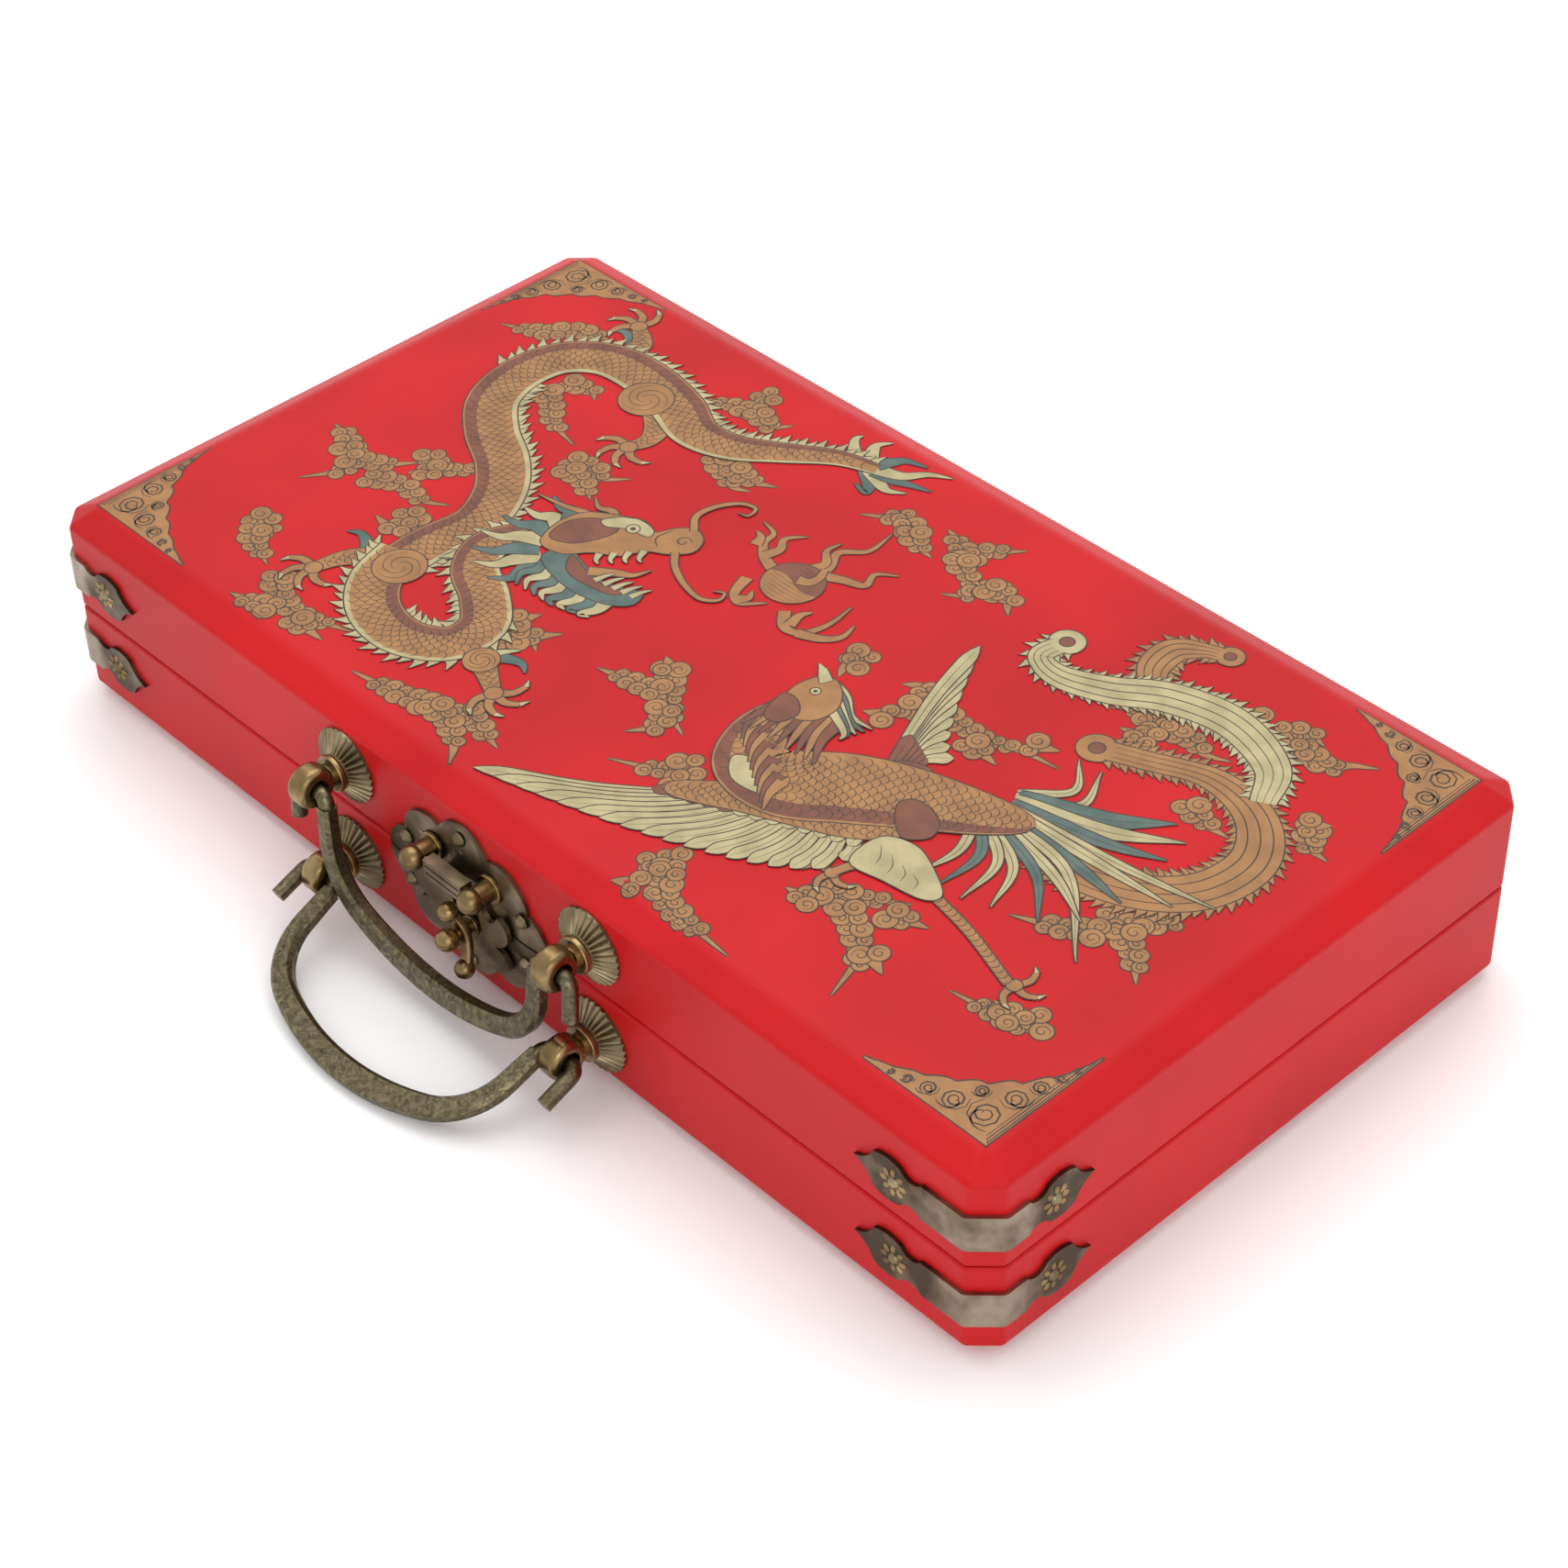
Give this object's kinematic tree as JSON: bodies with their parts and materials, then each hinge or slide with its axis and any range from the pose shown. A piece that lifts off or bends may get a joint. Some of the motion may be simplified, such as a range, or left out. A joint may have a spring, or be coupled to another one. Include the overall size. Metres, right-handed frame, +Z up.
{
  "type": "game case",
  "caption": "Flat red leatherette game case in two hinged halves, with bronze bail handles, fluted rosettes, corner brackets, a lobed hasp latch and lift-out tile trays.",
  "frame": {"origin": "centre of the flat underside of the case, without the handles", "axes": "+Z up, +X along the length, -Y towards the front with the handles and the latch"},
  "size_m": [0.253, 0.1726, 0.044],
  "materials": {
    "red_leatherette": "embossed red leatherette, satin",
    "board": "raw pressed board",
    "velvet": "dark red velvet",
    "tray_lacquer": "black lacquered board",
    "hinge_brass": "aged brass sheet",
    "handle_bronze": "antique bronze, cast, worn bright on the edges",
    "dark_bronze": "dark bronze patina with worn rims",
    "turned_bronze": "antique bronze, polished crowns",
    "aged_bronze": "antique bronze, worn rims"
  },
  "bodies": {
    "base": {"base_cover": "red_leatherette", "base_board": "board", "base_lining": "velvet", "left_tile_tray": "tray_lacquer", "right_tile_tray": "tray_lacquer", "lower_left_rosette": "aged_bronze", "lower_right_rosette": "aged_bronze", "lower_left_eye": "turned_bronze", "lower_right_eye": "turned_bronze", "lower_left_bracket": "aged_bronze", "lower_right_bracket": "aged_bronze", "base_bracket_nails": "aged_bronze", "base_latch_plate": "dark_bronze", "base_latch_rivets": "aged_bronze", "lock_post": "turned_bronze", "base_hinge_leaves": "hinge_brass", "base_hinge_nails": "hinge_brass", "hinge_pins": "hinge_brass"},
    "lid": {"lid_cover": "red_leatherette", "lid_board": "board", "lid_lining": "velvet", "upper_left_rosette": "aged_bronze", "upper_right_rosette": "aged_bronze", "upper_left_eye": "turned_bronze", "upper_right_eye": "turned_bronze", "upper_left_bracket": "aged_bronze", "upper_right_bracket": "aged_bronze", "lid_bracket_nails": "aged_bronze", "lid_latch_plate": "dark_bronze", "lid_latch_rivets": "aged_bronze", "left_latch_post": "turned_bronze", "right_latch_post": "turned_bronze", "hasp_pin": "aged_bronze", "lid_hinge_leaves": "hinge_brass", "lid_hinge_nails": "hinge_brass"},
    "upper_handle": {"upper_handle": "handle_bronze"},
    "lower_handle": {"lower_handle": "handle_bronze"},
    "hasp": {"hasp": "dark_bronze"},
    "turn_lever": {"turn_lever": "turned_bronze"}
  },
  "joints": [
    {"name": "lid_hinge", "type": "hinge", "parent": "base", "child": "lid", "pos_m": [0, 0.0691, 0.022], "axis": [-1, 0, 0], "range_deg": [0, 180]},
    {"name": "hasp_swing", "type": "hinge", "parent": "lid", "child": "hasp", "pos_m": [-0.0013, -0.0721, 0.03], "axis": [-1, 0, 0], "range_deg": [0, 160]},
    {"name": "lever_turn", "type": "hinge", "parent": "base", "child": "turn_lever", "pos_m": [-0.0001, -0.0717, 0.017], "axis": [0, -1, 0], "continuous": true},
    {"name": "upper_handle_swing", "type": "hinge", "parent": "lid", "child": "upper_handle", "pos_m": [-0.0016, -0.0757, 0.0322], "axis": [-1, 0, 0], "range_deg": [0, 170]},
    {"name": "lower_handle_swing", "type": "hinge", "parent": "base", "child": "lower_handle", "pos_m": [-0.0016, -0.0757, 0.0112], "axis": [-1, 0, 0], "range_deg": [-69, 54]}
  ]
}
